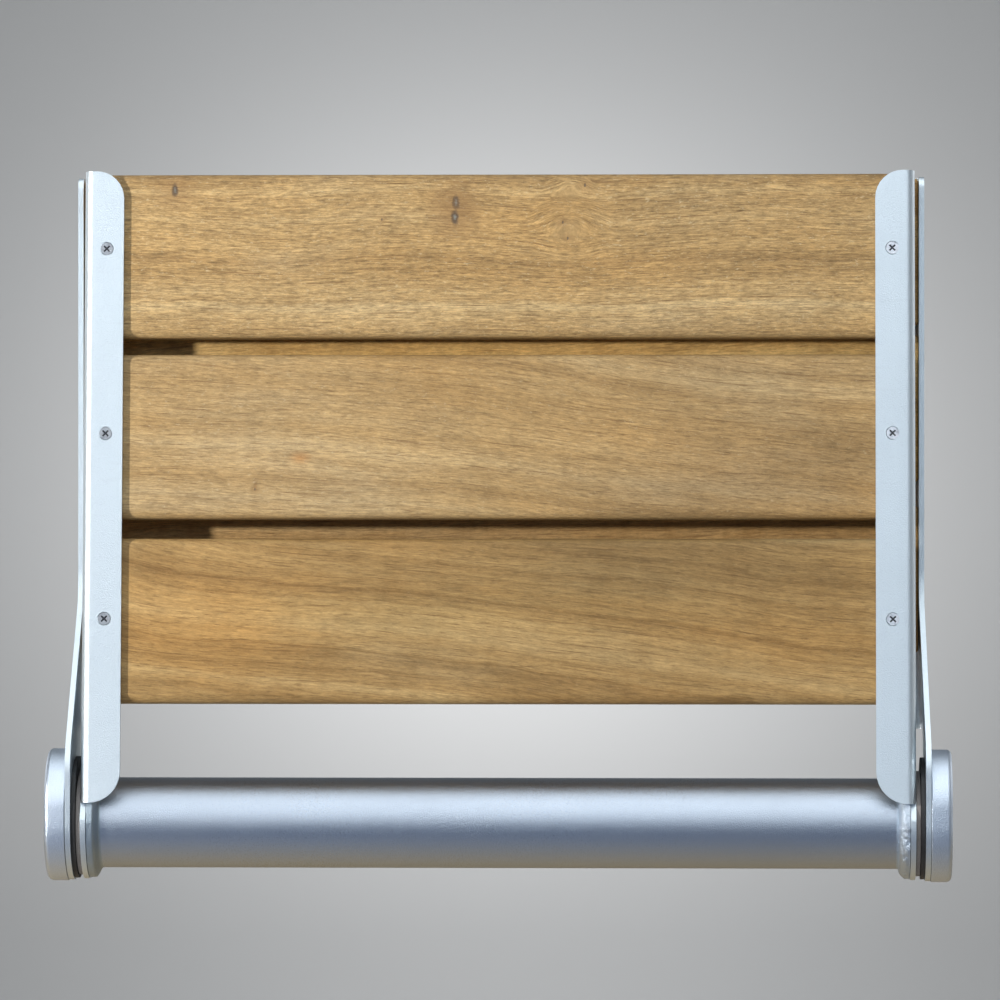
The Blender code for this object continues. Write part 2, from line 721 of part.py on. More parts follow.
def main():
    clear_scene()
    parts = new_collection("wall_shower_seat")
    cutters = new_collection("cutters")

    wall_origin = bpy.data.objects.new("wall_frame_origin", None)
    seat_pivot = bpy.data.objects.new("seat_pivot", None)
    for empty in (wall_origin, seat_pivot):
        parts.objects.link(empty)
    seat_pivot.location = (0.0, -AXIS_OUT, 0.0)
    seat_pivot.rotation_euler = (-LEAN, 0.0, 0.0)
    bpy.context.view_layer.update()

    wall = Builder(parts, cutters, wall_origin)
    seat = Builder(parts, cutters, seat_pivot)

    make_tube(seat)
    for label, side in (("left", -1), ("right", 1)):
        make_seat_arm(seat, label, side)
        make_collar(seat, label, side)
        make_plug(seat, label, side)
        make_bolt(seat, label, side)
        make_wall_arm(wall, label, side)
        make_washers(wall, label, side)
        make_bush(wall, label, side)
        make_stop_pin(wall, label, side)
        make_end_cap(wall, label, side)
    make_seat_slats(seat)
    make_seat_screws(seat)
    make_back_slats(wall)
    make_back_screws(wall)


main()
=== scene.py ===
"""The looks of the folding shower seat: finishes, detailed pieces, studio and camera."""

import json
import math

import bmesh
import bpy
from mathutils import Matrix, Vector, noise

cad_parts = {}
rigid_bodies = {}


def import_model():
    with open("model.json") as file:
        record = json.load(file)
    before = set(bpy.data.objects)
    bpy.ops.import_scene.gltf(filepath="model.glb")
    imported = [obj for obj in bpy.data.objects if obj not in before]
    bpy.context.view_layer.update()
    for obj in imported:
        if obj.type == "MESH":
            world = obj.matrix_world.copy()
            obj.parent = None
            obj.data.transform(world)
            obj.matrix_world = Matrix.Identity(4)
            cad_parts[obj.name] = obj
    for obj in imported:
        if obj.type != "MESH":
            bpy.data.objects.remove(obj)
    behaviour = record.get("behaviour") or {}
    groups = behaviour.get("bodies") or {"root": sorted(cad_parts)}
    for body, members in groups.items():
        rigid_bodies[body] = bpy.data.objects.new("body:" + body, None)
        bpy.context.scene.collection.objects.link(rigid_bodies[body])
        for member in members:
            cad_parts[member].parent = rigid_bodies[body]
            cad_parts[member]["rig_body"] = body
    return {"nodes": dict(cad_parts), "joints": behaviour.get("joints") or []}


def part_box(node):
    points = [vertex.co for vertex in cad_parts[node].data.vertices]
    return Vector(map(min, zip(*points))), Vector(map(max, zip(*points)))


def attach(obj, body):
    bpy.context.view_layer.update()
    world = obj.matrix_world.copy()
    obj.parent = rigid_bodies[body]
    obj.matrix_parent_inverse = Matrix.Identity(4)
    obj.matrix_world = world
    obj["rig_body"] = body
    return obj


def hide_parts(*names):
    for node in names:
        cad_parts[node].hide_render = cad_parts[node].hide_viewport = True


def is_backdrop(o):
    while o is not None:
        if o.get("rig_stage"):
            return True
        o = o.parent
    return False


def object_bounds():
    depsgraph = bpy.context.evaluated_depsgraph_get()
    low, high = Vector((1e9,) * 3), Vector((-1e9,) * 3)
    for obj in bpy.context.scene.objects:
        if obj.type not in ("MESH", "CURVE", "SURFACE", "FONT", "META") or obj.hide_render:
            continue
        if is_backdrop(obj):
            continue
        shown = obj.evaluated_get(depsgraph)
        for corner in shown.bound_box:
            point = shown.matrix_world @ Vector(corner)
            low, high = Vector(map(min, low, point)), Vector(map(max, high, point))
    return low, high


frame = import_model()
cad_low, cad_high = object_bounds()
nodes = frame["nodes"]

MM = 0.001
SIDES = (("left", -1.0), ("right", 1.0))
ROWS = ("top", "middle", "bottom")

hinge = next(joint for joint in frame["joints"] if joint["name"] == "seat_fold")
AXIS = Vector(hinge["pos_m"])
LEAN = math.radians(hinge["range_deg"][1] - 90.0)     # the folded seat leans back by this
SEAT = Matrix.Translation(AXIS) @ Matrix.Rotation(-LEAN, 4, "X")   # seat frame to row frame
WALL = Matrix.Identity(4)


# ------------------------------------------------------------------ shader nodes

MIX_FACTOR, MIX_A, MIX_B, MIX_RESULT = 0, 6, 7, 2    # a Mix node's sockets for colours


class Finish:
    """One procedural material, built with short calls."""

    def __init__(self, name):
        self.material = bpy.data.materials.new(name)
        self.material.use_nodes = True
        self.tree = self.material.node_tree
        self.shader = self.tree.nodes["Principled BSDF"]
        self.place = self.node("ShaderNodeTexCoord").outputs["Object"]

    def node(self, kind, **settings):
        made = self.tree.nodes.new(kind)
        for key, value in settings.items():
            setattr(made, key, value)
        return made

    def feed(self, made, values):
        for key, value in values.items():
            socket = made.inputs[key]
            if isinstance(value, bpy.types.NodeSocket):
                self.tree.links.new(value, socket)
            elif isinstance(value, (tuple, list)) and len(value) == 3 and socket.type == "RGBA":
                socket.default_value = (*value, 1.0)
            else:
                socket.default_value = value
        return made

    def set(self, **values):
        """Principled inputs, with underscores for spaces."""
        self.feed(self.shader, {key.replace("_", " "): v for key, v in values.items()})

    def mapped(self, scale=(1, 1, 1), shift=(0, 0, 0), turn=(0, 0, 0), source=None):
        made = self.node("ShaderNodeMapping")
        self.feed(made, {"Vector": source or self.place, "Scale": scale, "Location": shift,
                         "Rotation": turn})
        return made.outputs["Vector"]

    def noise(self, vector, scale=1.0, detail=2.0, rough=0.5):
        made = self.node("ShaderNodeTexNoise")
        self.feed(made, {"Vector": vector, "Scale": scale, "Detail": detail,
                         "Roughness": rough})
        return made.outputs["Fac"]

    def noise_line(self, value, scale, detail, rough):
        """Noise that varies along one number only, such as the distance from a log's pith."""
        made = self.node("ShaderNodeTexNoise", noise_dimensions="1D")
        self.feed(made, {"W": value, "Scale": scale, "Detail": detail, "Roughness": rough})
        return made.outputs["Fac"]

    def ramp(self, factor, stops):
        """A colour ramp; a stop's colour may be one number, for a grey."""
        made = self.node("ShaderNodeValToRGB")
        elements = made.color_ramp.elements
        while len(elements) < len(stops):
            elements.new(0.5)
        for element, (position, colour) in zip(elements, stops):
            element.position = position
            if isinstance(colour, (int, float)):
                colour = (colour, colour, colour)
            element.color = (*colour, 1.0)
        self.feed(made, {"Fac": factor})
        return made.outputs["Color"]

    def span(self, factor, low, high, to_low=0.0, to_high=1.0):
        """Map low..high to to_low..to_high, and hold the ends."""
        made = self.node("ShaderNodeMapRange")
        self.feed(made, {"Value": factor, "From Min": low, "From Max": high,
                         "To Min": to_low, "To Max": to_high})
        return made.outputs["Result"]

    def calc(self, operation, first, second=0.0):
        made = self.node("ShaderNodeMath", operation=operation)
        self.feed(made, {0: first, 1: second})
        return made.outputs["Value"]

    def vector(self, operation, first, second):
        made = self.node("ShaderNodeVectorMath", operation=operation)
        self.feed(made, {0: first, ("Scale" if operation == "SCALE" else 1): second})
        return made.outputs["Value" if operation == "DISTANCE" else "Vector"]

    def mix(self, factor, first, second, blend="MIX"):
        made = self.node("ShaderNodeMix", data_type="RGBA", blend_type=blend)
        made.clamp_factor = True
        self.feed(made, {MIX_FACTOR: factor, MIX_A: first, MIX_B: second})
        return made.outputs[MIX_RESULT]

    def parts(self, vector):
        """The x, y and z of a vector."""
        made = self.node("ShaderNodeSeparateXYZ")
        self.feed(made, {"Vector": vector})
        return made.outputs["X"], made.outputs["Y"], made.outputs["Z"]

    def bump(self, height, strength, distance, under=None):
        made = self.node("ShaderNodeBump")
        self.feed(made, {"Height": height, "Strength": strength, "Distance": distance})
        if under:
            self.feed(made, {"Normal": under})
        return made.outputs["Normal"]


# ------------------------------------------------------------------ the finishes

def satin_aluminium(name, seed, tint=(0.74, 0.83, 0.94), rough=0.40, sparkle=1.0):
    """Fine-blasted, clear-anodised aluminium, pale and slightly blue, with a fine glitter."""
    finish = Finish(name)
    place = finish.mapped(shift=(seed * 1.3, seed * 0.7, seed * 2.1))
    cloud = finish.noise(place, 9.0, 3.0, 0.55)
    grain = finish.noise(place, 2600.0, 2.0, 0.7)
    fleck = finish.noise(place, 1800.0, 1.0, 0.5)
    scuff = finish.noise(finish.mapped((30, 30, 260), (seed, seed, 0)), 1.0, 4.0, 0.65)
    dull = tuple(0.96 * channel for channel in tint)
    colour = finish.mix(finish.span(cloud, 0.3, 0.7), tint, dull)
    speck = finish.ramp(fleck, [(0.30, 0.96), (0.5, 1.0), (0.70, 1.02)])
    colour = finish.mix(0.8, colour, speck, "MULTIPLY")
    colour = finish.mix(finish.span(scuff, 0.60, 0.85, 0.0, 0.20), colour, (0.66, 0.70, 0.74))
    roughness = finish.span(cloud, 0.2, 0.8, rough - 0.03, rough + 0.04)
    roughness = finish.calc("ADD", roughness, finish.span(grain, 0.3, 0.7, -0.04, 0.04))
    blasted = finish.bump(fleck, 0.5 * sparkle, 0.0004)
    finish.set(Base_Color=colour, Metallic=1.0, Roughness=roughness, Normal=blasted)
    return finish.material


# Depths below a screw head's face where the painted shade in its recess begins and where it is
# full.
SHADE_START_DEPTH, SHADE_FULL_DEPTH = 0.10 * MM, 0.45 * MM     # below a screw head's face


def steel(name, seed, shade=1.0, face=None):
    """Bright stainless screws and bolts with fine turning marks and a little grime.

    face is where a seat screw's head lies along the seat frame's Y; painted shade
    darkens its recess.
    """
    finish = Finish(name)
    place = finish.mapped(shift=(seed, seed * 1.7, seed * 0.4))
    grain = finish.noise(place, 1800.0, 3.0, 0.7)
    stain = finish.noise(place, 420.0, 3.0, 0.6)
    colour = finish.ramp(stain, [(0.28, tuple(shade * c for c in (0.42, 0.43, 0.46))),
                                 (0.46, tuple(shade * c for c in (0.68, 0.70, 0.74))),
                                 (0.70, tuple(shade * c for c in (0.80, 0.82, 0.86)))])
    # Painted shade: a seat screw's recess is coloured near black, darker the deeper it goes.
    if face is not None:
        pivot = Matrix.Rotation(LEAN, 3, "X") @ AXIS
        _, depth, _ = finish.parts(finish.mapped(shift=(0, -pivot.y - face, 0),
                                                 turn=(LEAN, 0, 0)))
        colour = finish.mix(finish.span(depth, SHADE_START_DEPTH, SHADE_FULL_DEPTH, 0.0, 0.9), colour,
                            (0.055, 0.055, 0.060))
    finish.set(Base_Color=colour, Metallic=1.0,
               Roughness=finish.span(grain, 0.25, 0.75, 0.34, 0.50),
               Normal=finish.bump(grain, 0.25, 0.0002))
    return finish.material


def nylon(name, seed, dark, light, rough=0.5):
    """Moulded plastic with a fine moulded texture and a mottled tone."""
    finish = Finish(name)
    place = finish.mapped(shift=(seed, seed * 0.3, seed * 1.9))
    cloud = finish.noise(place, 60.0, 3.0, 0.6)
    grain = finish.noise(place, 3000.0, 2.0, 0.6)
    finish.set(Base_Color=finish.mix(finish.span(cloud, 0.3, 0.75), dark, light),
               Roughness=finish.span(grain, 0.2, 0.8, rough - 0.1, rough + 0.12),
               Normal=finish.bump(grain, 0.3, 0.0003))
    return finish.material


SWAY = 0.016           # how far the grain wanders up and down a board, in metres
RIPPLE = 0.0030        # how far the growth rings waver, in metres
EYE_STRETCH, KNOT_STRETCH, HALO_STRETCH = 0.8, 2.0, 0.9    # above 1, a mark is upright
TEAK_GLOSS = 0.35


def teak(name, seed, centre, slope=0.0, pith=(0.10, -0.34), tilt=1.0, bands=1.0,
         speckle=1.0, curl=0.2, crisp=0.7, tone=(1.0, 1.0, 1.0), patches=(), knots=(),
         eyes=()):
    """Oiled teak, sawn so that the growth rings run roughly along X.

    slope is how far the grain climbs along the board, and tilt how far it runs out of
    the board's face, in degrees. pith is the place of the log's middle across the
    board, in metres from centre. tone multiplies the wood's colours. Marks on the board's
    face are at x and z in the row frame: a patch is (x, z, size, stretch, amount, tint),
    and a knot or an eye, round which the grain turns, is (x, z, size).
    """
    finish = Finish(name)
    local = finish.mapped(shift=tuple(-c for c in centre))
    bent = finish.noise(finish.mapped((4.0, 9.0, 9.0), (seed, seed * 2, 0), source=local),
                        1.0, 1.5, 0.5)
    sway = finish.node("ShaderNodeCombineXYZ")
    finish.feed(sway, {"Z": finish.span(bent, 0, 1, -SWAY, SWAY)})
    bowed = finish.vector("ADD", local, sway.outputs["Vector"])

    def gap_to(px, pz, stretch):
        """Distance in the board's face from a point, longer across the stretch."""
        return finish.vector("DISTANCE", finish.mapped((stretch, 0.0, 1.0)),
                             (px * stretch, 0.0, pz))

    for px, pz, size in eyes:
        pull = finish.span(gap_to(px, pz, EYE_STRETCH), size * 2.2, size * 0.3, 0.0, 0.9)
        offset = finish.vector("SUBTRACT", (px - centre[0], 0.0, pz - centre[2]), bowed)
        upward = finish.vector("MULTIPLY", offset, (0.0, 0.0, 1.0))
        bowed = finish.vector("ADD", bowed, finish.vector("SCALE", upward, pull))
    grain = finish.mapped(turn=(0, math.radians(slope), math.radians(tilt)), source=bowed)

    def along(lengthwise, across, shift):
        return finish.mapped((lengthwise, across, across), shift, source=grain)

    ripple = finish.noise(along(20.0, 80.0, (seed, 0, seed)), 1.0, 2.0, 0.6)
    _, y, z = finish.parts(grain)
    dy = finish.calc("SUBTRACT", y, pith[0])
    dz = finish.calc("SUBTRACT", z, pith[1])
    reach = finish.calc("SQRT", finish.calc("ADD", finish.calc("MULTIPLY", dy, dy),
                                            finish.calc("MULTIPLY", dz, dz)))
    reach = finish.calc("ADD", reach, finish.span(ripple, 0, 1, -RIPPLE, RIPPLE))
    rings = finish.noise_line(finish.calc("ADD", reach, seed), 300.0, 3.0, 0.7)
    broad = finish.noise_line(finish.calc("ADD", reach, seed * 3), 55.0, 2.0, 0.6)
    fibre = finish.noise(along(75.0, 1400.0, (seed, 0, 0)), 1.0, 4.0, 0.78)
    wool = finish.noise(along(190.0, 780.0, (0, seed, 0)), 1.0, 3.0, 0.78)
    hair = finish.noise(along(24.0, 1250.0, (seed, seed, seed)), 1.0, 2.0, 0.55)
    pores = finish.noise(along(120.0, 1500.0, (0, seed, 0)), 1.0, 2.0, 0.6)
    fleck = finish.noise(along(330.0, 820.0, (seed, seed, 0)), 1.0, 3.0, 0.75)
    patch = finish.noise(along(8.0, 34.0, (0, 0, seed)), 1.0, 3.0, 0.62)
    warm = finish.noise(along(6.0, 22.0, (seed, 0, 0)), 1.0, 3.0, 0.6)
    figure = finish.noise(finish.mapped((85.0, 30.0, 30.0), (seed, 0, 0), source=local),
                          1.0, 3.0, 0.6)

    def toned(*colour):
        return tuple(channel * share for channel, share in zip(colour, tone))

    colour = finish.ramp(broad, [(0.26, toned(0.345, 0.212, 0.086)),
                                 (0.44, toned(0.440, 0.278, 0.114)),
                                 (0.58, toned(0.500, 0.330, 0.146)),
                                 (0.76, toned(0.590, 0.425, 0.215))])
    colour = finish.mix(finish.span(warm, 0.50, 0.72, 0.0, 0.55), colour,
                        toned(0.505, 0.290, 0.098))
    colour = finish.mix(finish.span(warm, 0.46, 0.26, 0.0, 0.45), colour,
                        toned(0.500, 0.372, 0.205))
    lines = finish.ramp(rings, [(0.26, (0.66, 0.60, 0.52)), (0.44, (0.94, 0.92, 0.90)),
                                (0.60, (1.04, 1.04, 1.04)), (0.76, (1.18, 1.20, 1.22))])
    colour = finish.mix(0.85 * bands, colour, lines, "MULTIPLY")
    shade = finish.ramp(patch, [(0.26, 0.78), (0.5, 1.0), (0.74, 1.16)])
    colour = finish.mix(0.8, colour, shade, "MULTIPLY")
    thread = finish.ramp(fibre, [(0.30, 0.55), (0.5, 1.0), (0.70, 1.36)])
    colour = finish.mix(crisp, colour, thread, "MULTIPLY")
    fluff = finish.ramp(wool, [(0.30, 0.62), (0.5, 1.0), (0.70, 1.30)])
    colour = finish.mix(crisp, colour, fluff, "MULTIPLY")
    curly = finish.ramp(figure, [(0.32, (0.72, 0.64, 0.52)), (0.5, (1.0, 1.0, 1.0)),
                                 (0.68, (1.18, 1.16, 1.12))])
    colour = finish.mix(curl, colour, curly, "MULTIPLY")
    colour = finish.mix(finish.span(hair, 0.61, 0.70, 0.0, 0.62), colour,
                        toned(0.190, 0.100, 0.038))
    colour = finish.mix(finish.span(pores, 0.60, 0.74, 0.0, 0.60), colour,
                        toned(0.185, 0.098, 0.038))
    colour = finish.mix(finish.span(fleck, 0.58, 0.76, 0.0, 0.60 * speckle), colour,
                        toned(0.215, 0.118, 0.046))
    colour = finish.mix(finish.span(fleck, 0.42, 0.24, 0.0, 0.60 * speckle), colour,
                        toned(0.72, 0.56, 0.33))

    for px, pz, size in eyes:
        reach_out = finish.calc("ADD", gap_to(px, pz, EYE_STRETCH),
                                finish.span(wool, 0, 1, -size * 0.3, size * 0.3))
        turns = finish.noise_line(reach_out, 620.0, 2.0, 0.6)
        burr = finish.ramp(turns, [(0.30, (0.80, 0.76, 0.70)), (0.5, (1.0, 1.0, 1.0)),
                                   (0.70, (1.07, 1.07, 1.06))])
        colour = finish.mix(finish.span(reach_out, size * 1.8, size * 0.8, 0.0, 0.85),
                            colour, burr, "MULTIPLY")
        colour = finish.mix(finish.span(reach_out, size * 1.1, size * 0.5, 0.0, 0.40),
                            colour, toned(0.36, 0.235, 0.105))
    for px, pz, size, stretch, amount, tint in patches:
        near = finish.calc("ADD", gap_to(px, pz, stretch),
                           finish.span(patch, 0, 1, -size * 0.7, size * 0.7))
        colour = finish.mix(finish.span(near, size * 1.5, size * 0.3, 0.0, amount), colour,
                            finish.mix(1.0, colour, tint, "MULTIPLY"))
    height = finish.calc("SUBTRACT", fibre, finish.span(pores, 0.58, 0.76, 0.0, 0.9))
    for px, pz, size in knots:
        near = finish.calc("ADD", gap_to(px, pz, KNOT_STRETCH),
                           finish.span(fleck, 0.2, 0.8, -size * 0.35, size * 0.35))
        halo = finish.span(gap_to(px, pz, HALO_STRETCH), size * 4.2, size * 0.9, 0.0, 0.42)
        rim = finish.span(near, size * 1.25, size * 0.70, 0.0, 0.85)
        heart = finish.span(near, size * 0.48, size * 0.14, 0.0, 0.80)
        colour = finish.mix(halo, colour, toned(0.26, 0.140, 0.055))
        colour = finish.mix(rim, colour, (0.095, 0.066, 0.046))
        colour = finish.mix(heart, colour, (0.25, 0.25, 0.215))
        height = finish.calc("SUBTRACT", height, finish.calc("MULTIPLY", rim, 0.8))
    rough = finish.span(fibre, 0.25, 0.75, 0.66, 0.48)
    normal = finish.bump(height, 0.5, 0.0005)
    normal = finish.bump(rings, 0.12, 0.0012, normal)
    finish.set(Base_Color=colour, Roughness=rough, Normal=normal)
    finish.shader.inputs["Specular IOR Level"].default_value = TEAK_GLOSS
    return finish.material


# ------------------------------------------------------------------ detailed pieces

def local_box(node, space):
    """A node's box in a body's own frame, where its faces lie square."""
    back = space.inverted()
    points = [back @ vert.co for vert in nodes[node].data.vertices]
    low = Vector([min(p[k] for p in points) for k in range(3)])
    high = Vector([max(p[k] for p in points) for k in range(3)])
    return low, high


def new_piece(name, work, space, body, finish, slot, *stands_for):
    """Turn a bmesh, drawn in space, into a finished piece that rides on a body."""
    mesh = bpy.data.meshes.new(name)
    work.to_mesh(mesh)
    work.free()
    mesh.transform(space)
    mesh.materials.append(finish)
    mesh.shade_smooth()
    mesh.set_sharp_from_angle(angle=SHARP_ANGLE)
    piece = bpy.data.objects.new(name, mesh)
    bpy.context.scene.collection.objects.link(piece)
    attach(piece, body)
    if stands_for:
        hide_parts(*stands_for)
    return piece


ARRIS_WEAR = 0.45 * MM
SHARP_ANGLE = math.radians(40.0)


def board(node, space, body, radius, seed, finish):
    """A planed board with rounded long edges, eased ends and slightly uneven arrises."""
    low, high = local_box(node, space)
    work = bmesh.new()
    count, arc = 48, 7
    ease = 1.3 * MM
    between = [low.x + (high.x - low.x) * step / count for step in range(count + 1)]
    stations = ([(low.x, ease), (low.x + 0.35 * ease, 0.42 * ease), (low.x + ease, 0.0)]
                + [(x, 0.0) for x in between if low.x + 3 * ease < x < high.x - 3 * ease]
                + [(high.x - ease, 0.0), (high.x - 0.35 * ease, 0.42 * ease),
                   (high.x, ease)])
    rings = []
    for x, pull in stations:
        ring = []
        for quarter, (cy, cz) in enumerate(((high.y, high.z), (low.y, high.z),
                                            (low.y, low.z), (high.y, low.z))):
            wear = ARRIS_WEAR * noise.noise(Vector((x * 14.0, seed * 7.3 + quarter * 3.1, 0)))
            r = radius + wear
            sy = 1.0 if cy == low.y else -1.0
            sz = 1.0 if cz == low.z else -1.0
            for step in range(arc + 1):
                angle = math.pi / 2 * step / arc
                if quarter % 2:
                    angle = math.pi / 2 - angle
                y = cy + sy * (r - (r - pull) * math.cos(angle))
                z = cz + sz * (r - (r - pull) * math.sin(angle))
                ring.append(work.verts.new((x, y, z)))
        rings.append(ring)
    total = len(rings[0])
    for first, second in zip(rings, rings[1:]):
        for step in range(total):
            nxt = (step + 1) % total
            work.faces.new((first[step], first[nxt], second[nxt], second[step]))
    work.faces.new(list(reversed(rings[0])))
    work.faces.new(rings[-1])
    bmesh.ops.recalc_face_normals(work, faces=work.faces)
    new_piece("teak_" + node, work, space, body, finish, "teak", node)


def refined(node, body, finish, slot, edge=0.3 * MM):
    """The node's own shape with its flat faces joined up and its sharp edges eased."""
    work = bmesh.new()
    work.from_mesh(nodes[node].data)
    bmesh.ops.remove_doubles(work, verts=work.verts, dist=0.01 * MM)
    bmesh.ops.dissolve_limit(work, angle_limit=math.radians(0.6), verts=work.verts[:],
                             edges=work.edges[:])
    for face in work.faces:
        face.smooth = True
    piece = new_piece("fine_" + node, work, WALL, body, finish, slot, node)
    ease = piece.modifiers.new("eased", "BEVEL")
    ease.width = edge
    ease.segments = 2
    ease.limit_method = "ANGLE"
    ease.angle_limit = math.radians(50.0)
    ease.use_clamp_overlap = True
    flat = piece.modifiers.new("flat_faces_stay_flat", "WEIGHTED_NORMAL")
    flat.keep_sharp = True
    flat.weight = 100


def turn_about(name, profile, direction, centre, space, body, finish, slot, stands_for,
               steps=96, shape=None):
    """Revolve (along, radius) points about a line through centre, in a body's frame.

    shape(angle, along, radius) may change the radius, as on a weld bead.
    """
    turn = Vector((0, 0, 1)).rotation_difference(Vector(direction)).to_matrix()
    work = bmesh.new()
    rings = []
    for along, radius in profile:
        ring = []
        for step in range(steps):
            angle = 2 * math.pi * step / steps
            r = shape(angle, along, radius) if shape else radius
            ring.append(work.verts.new(turn @ Vector((r * math.cos(angle), r * math.sin(angle),
                                                      along)) + Vector(centre)))
        rings.append(ring)
    for first, second in zip(rings, rings[1:]):
        for step in range(steps):
            nxt = (step + 1) % steps
            work.faces.new((first[step], first[nxt], second[nxt], second[step]))
    work.faces.new(rings[0])
    work.faces.new(rings[-1])
    bmesh.ops.recalc_face_normals(work, faces=work.faces)
    new_piece(name, work, space, body, finish, slot, stands_for)


def oblong(radius, rise, steps=40):
    """Round ends about (0, 0) and (0, rise), joined by straight sides."""
    points = []
    for step in range(steps + 1):
        angle = math.pi + math.pi * step / steps
        points.append((radius * math.cos(angle), radius * math.sin(angle)))
    for step in range(steps + 1):
        angle = math.pi * step / steps
        points.append((radius * math.cos(angle), rise + radius * math.sin(angle)))
    return points


TUBE_WALL = 2.5 * MM


def hinge_tube(finish):
    """The hinge tube, with its two ends eased."""
    _, high = local_box("hinge_tube", SEAT)
    radius, end = high.z, high.x
    ease, steps = 0.5 * MM, 40
    profile = [(-end, radius - TUBE_WALL), (-end, radius - ease), (-end + ease, radius)]
    for step in range(1, steps):
        profile.append((-end + ease + (2 * end - 2 * ease) * step / steps, radius))
    profile += [(end - ease, radius), (end, radius - ease), (end, radius - TUBE_WALL)]
    turn_about("fine_hinge_tube", profile, (1, 0, 0), (0, 0, 0), SEAT, "seat", finish,
               "anodised_aluminium", "hinge_tube", steps=128)


def weld_bead(label, side, finish, rough):
    """The fillet between the tube and an arm: smooth on the left, lumpy on the right.

    rough is how far its surface wanders from the plain profile.
    """
    node = "weld_collar_" + label
    low, high = local_box(node, SEAT)
    root = local_box("hinge_tube", SEAT)[1].z + 0.05 * MM
    length = high.x - low.x
    crown = high.z - root
    foot = side * (low.x if side < 0 else high.x)
    seed = 5.0 if side < 0 else 17.0

    def shape(angle, along, radius):
        share = (foot - along) / length
        ripple = 0.5 + 0.5 * math.sin(angle * 21 + 2.0 * share + 2.2 * math.sin(angle * 3))
        wander = noise.noise(Vector((math.cos(angle) * 2.6, math.sin(angle) * 2.6, seed)))
        lump = noise.noise(Vector((math.cos(angle) * 12.0, math.sin(angle) * 12.0,
                                   seed + share * 3.0)))
        body = max(0.0, radius - root)
        change = rough * (0.05 * (ripple - 0.5) + 0.26 * wander + 0.12 * lump)
        return min(root + body * (1.0 + change), root + crown * 1.02)

    profile = [(foot, root - 0.4 * MM)]
    steps = 20
    for step in range(steps + 1):
        share = step / steps
        if side < 0:
            fall = min(1.0, max(0.0, (share - 0.40) / 0.55))
            rise = crown * (1.0 - fall * fall * (3 - 2 * fall))
        else:
            rise = crown * math.sqrt(max(0.0, 1.0 - (share / 0.84) ** 2))
        profile.append((foot - length * share, root + max(rise, 0.0)))
    profile.append((foot - length - 0.1 * MM, root - 0.4 * MM))
    profile = [(side * along, radius) for along, radius in profile]
    turn_about("bead_" + node, profile, (1, 0, 0), (0, 0, 0), SEAT, "seat", finish,
               "anodised_aluminium", node, steps=240,
               shape=lambda angle, along, radius: shape(angle, side * along, radius))


def end_cap(label, side, finish):
    """A cap with a rolled rim and a softly domed face, set back a little behind."""
    node = "end_cap_" + label
    low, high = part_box(node)
    radius = (high.y - low.y) / 2
    rise = (high.z - low.z) - 2 * radius
    centre = Vector((0.0, (low.y + high.y) / 2, low.z + radius))
    inner = min(abs(low.x), abs(high.x))
    outer = max(abs(low.x), abs(high.x))
    roll, dome, fall = 2.8 * MM, 0.6 * MM, 0.1 * MM
    profile = [(radius - 2.6 * MM, inner + 3.0 * MM), (radius - 2.4 * MM, inner + 0.3 * MM),
               (radius - 2.1 * MM, inner), (radius - 0.3 * MM, inner),
               (radius, inner + 0.3 * MM), (radius, inner + 2.0 * MM),
               (radius, outer - dome - roll)]
    for step in range(1, 9):
        angle = math.pi / 2 * step / 8
        profile.append((radius - roll * (1 - math.cos(angle)),
                        outer - dome - roll * (1 - math.sin(angle)) + fall * step / 8))
    for step in range(1, 8):
        share = step / 8
        reach = (radius - roll) * (1 - share)
        profile.append((reach, outer - dome + fall
                        + (dome - fall) * (1 - (1 - share) ** 2)))
    work = bmesh.new()
    rings = []
    for reach, along in profile:
        rings.append([work.verts.new(centre + Vector((side * along, y, z)))
                      for y, z in oblong(reach, rise)])
    total = len(rings[0])
    for first, second in zip(rings, rings[1:]):
        for step in range(total):
            nxt = (step + 1) % total
            work.faces.new((first[step], first[nxt], second[nxt], second[step]))
    work.faces.new(rings[0])
    work.faces.new(rings[-1])
    bmesh.ops.recalc_face_normals(work, faces=work.faces)
    new_piece("fine_" + node, work, WALL, "wall_frame", finish, "cap_aluminium", node)


# ------------------------------------------------------------------ put together

BODY_OF = {name: obj["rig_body"] for name, obj in nodes.items()}


def both(*stems):
    return [stem + "_" + side for stem in stems for side, _ in SIDES]


hinge_tube(satin_aluminium("aluminium_tube", 2.2, (0.585, 0.645, 0.735), 0.30, 1.25))
for label, side in SIDES:
    # The left bead's tint is painted darker than the right's: painted shade under the left flange.
    weld_bead(label, side,
              satin_aluminium("aluminium_bead_" + label, 4.0 + side,
                              (0.50, 0.58, 0.64) if side < 0 else (0.66, 0.75, 0.85),
                              0.44, 1.0 if side < 0 else 2.0),
              0.2 if side < 0 else 1.0)
    end_cap(label, side, satin_aluminium("aluminium_cap_" + label, 7.0 + side,
                                         (0.80, 0.885, 1.0), rough=0.42, sparkle=1.1))
for count, name in enumerate(both("seat_arm", "wall_arm", "tube_plug")):
    refined(name, BODY_OF[name],
            satin_aluminium("aluminium_" + name, 11.0 + 2.3 * count, (0.87, 0.95, 1.0),
                            rough=0.45, sparkle=0.9),
            "anodised_aluminium")
metal = [n for n in nodes if "screw" in n] + both("pivot_bolt", "thrust_washer", "stop_pin")
for count, name in enumerate(metal):
    face = local_box(name, SEAT)[0].y if name.startswith("seat_screw") else None
    refined(name, BODY_OF[name],
            steel("steel_" + name, 3.0 + 1.7 * count,
                  0.72 if name.startswith("seat_screw_left") else 1.15, face),
            "stainless_steel", edge=0.12 * MM)
for count, name in enumerate(both("pivot_bush", "wear_plate")):
    refined(name, BODY_OF[name],
            nylon("nylon_" + name, 5.0 + count, (0.012, 0.012, 0.013), (0.035, 0.034, 0.036)),
            "black_nylon")
